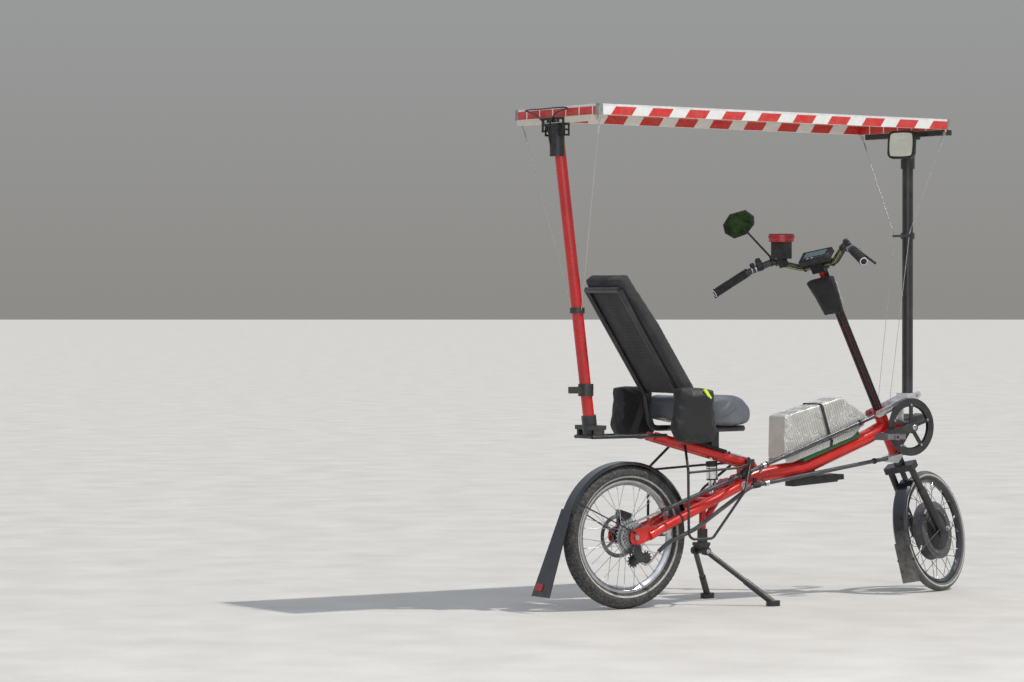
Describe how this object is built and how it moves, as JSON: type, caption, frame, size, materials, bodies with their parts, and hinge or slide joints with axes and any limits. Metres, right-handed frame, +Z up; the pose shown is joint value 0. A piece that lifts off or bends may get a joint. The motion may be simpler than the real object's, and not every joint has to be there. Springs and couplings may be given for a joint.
{
  "type": "recumbent bicycle",
  "caption": "Low electric bicycle with a laid-back seat, high handlebar, solar roof on masts, small wheels, foil-covered battery, panniers' rod loops and a double kickstand.",
  "frame": {"origin": "on the ground below the middle of the outline", "axes": "+X forward, +Y to the rider's left, +Z up"},
  "size_m": [2.0584, 0.6996, 1.824],
  "materials": {
    "alloy": "brushed",
    "bag_fabric": "matt",
    "black_metal": "satin",
    "black_plastic": "matt",
    "dark_alloy": "satin",
    "display_plastic": "gloss",
    "foil": "metallic",
    "frame_red": "gloss",
    "green_plastic": "satin",
    "grey_plastic": "satin",
    "mesh_fabric": "matt",
    "mirror_glass": "polished",
    "red_tube": "gloss",
    "roof_cells": "gloss",
    "roof_stripes": "gloss",
    "rubber": "matt",
    "seat_skin": "satin",
    "smoke_plastic": "gloss",
    "steel": "satin",
    "tyre": "matt",
    "wire": "satin"
  },
  "bodies": {
    "frame": {"main_frame": "frame_red", "swing_arm": "frame_red", "rear_shock": "black_metal", "rear_axle": "steel", "rear_brake_caliper": "black_metal", "chain_tubes": "grey_plastic", "chain_clips": "alloy", "chain": "steel", "derailleur": "black_metal", "stand_bracket": "black_metal", "rear_mudguard": "smoke_plastic", "mast_rails": "alloy", "front_mast": "black_metal", "mast_heads": "black_metal", "mast_collars": "black_metal", "stay_wires": "wire", "roof_mirror": "mirror_glass", "roof_frame": "roof_stripes", "roof_panel": "roof_cells", "rear_mast": "red_tube", "rear_rack": "black_metal", "seat_base": "seat_skin", "seat_back": "mesh_fabric", "seat_frame": "black_metal", "seat_bags": "bag_fabric", "lowriders": "black_metal", "battery_pack": "green_plastic", "battery_cover": "foil", "motor_controller": "black_plastic", "tow_hitch": "black_metal"},
    "steering": {"front_fork": "black_metal", "front_axle": "steel", "front_mudguard": "smoke_plastic", "steering_column": "red_tube", "handlebar": "black_metal", "grips": "rubber", "brake_levers": "black_metal", "bar_display": "display_plastic", "bar_pouch": "bag_fabric", "bar_box": "black_plastic", "bar_mirror": "mirror_glass", "column_cables": "rubber"},
    "front_wheel": {"front_tyre": "tyre", "front_rim": "alloy", "front_hub_motor": "dark_alloy"},
    "rear_wheel": {"rear_tyre": "tyre", "rear_rim": "alloy", "rear_hub": "dark_alloy", "rear_cassette": "steel", "rear_brake_disc": "steel"},
    "crank": {"chainset": "black_metal", "cranks": "black_metal"},
    "pedal_right": {"pedal_right": "black_plastic"},
    "pedal_left": {"pedal_left": "black_plastic"},
    "stand": {"stand_leg_left": "black_metal", "stand_leg_right": "black_metal"}
  },
  "joints": [
    {"name": "steering_turn", "type": "hinge", "parent": "frame", "child": "steering", "pos_m": [0.52787, 0.06441, 0.7], "axis": [-0.454, 0, 0.891], "range_deg": [-63, 17]},
    {"name": "front_wheel_spin", "type": "hinge", "parent": "steering", "child": "front_wheel", "pos_m": [0.80789, 0.08004, 0.23153], "axis": [-0.3481, 0.9205, -0.1774], "continuous": true},
    {"name": "rear_wheel_spin", "type": "hinge", "parent": "frame", "child": "rear_wheel", "pos_m": [-0.66013, 0.06441, 0.264], "axis": [0, 1, 0], "continuous": true},
    {"name": "crank_spin", "type": "hinge", "parent": "frame", "child": "crank", "pos_m": [0.64187, 0.06441, 0.64], "axis": [0, 1, 0], "continuous": true},
    {"name": "pedal_right_spin", "type": "hinge", "parent": "crank", "child": "pedal_right", "pos_m": [0.47892, 0.06441, 0.60833], "axis": [0, 1, 0], "continuous": true},
    {"name": "pedal_left_spin", "type": "hinge", "parent": "crank", "child": "pedal_left", "pos_m": [0.80482, 0.06441, 0.67167], "axis": [0, 1, 0], "continuous": true},
    {"name": "stand_fold", "type": "hinge", "parent": "frame", "child": "stand", "pos_m": [-0.31513, 0.06441, 0.198], "axis": [0, 1, 0], "range_deg": [0, 125]}
  ]
}
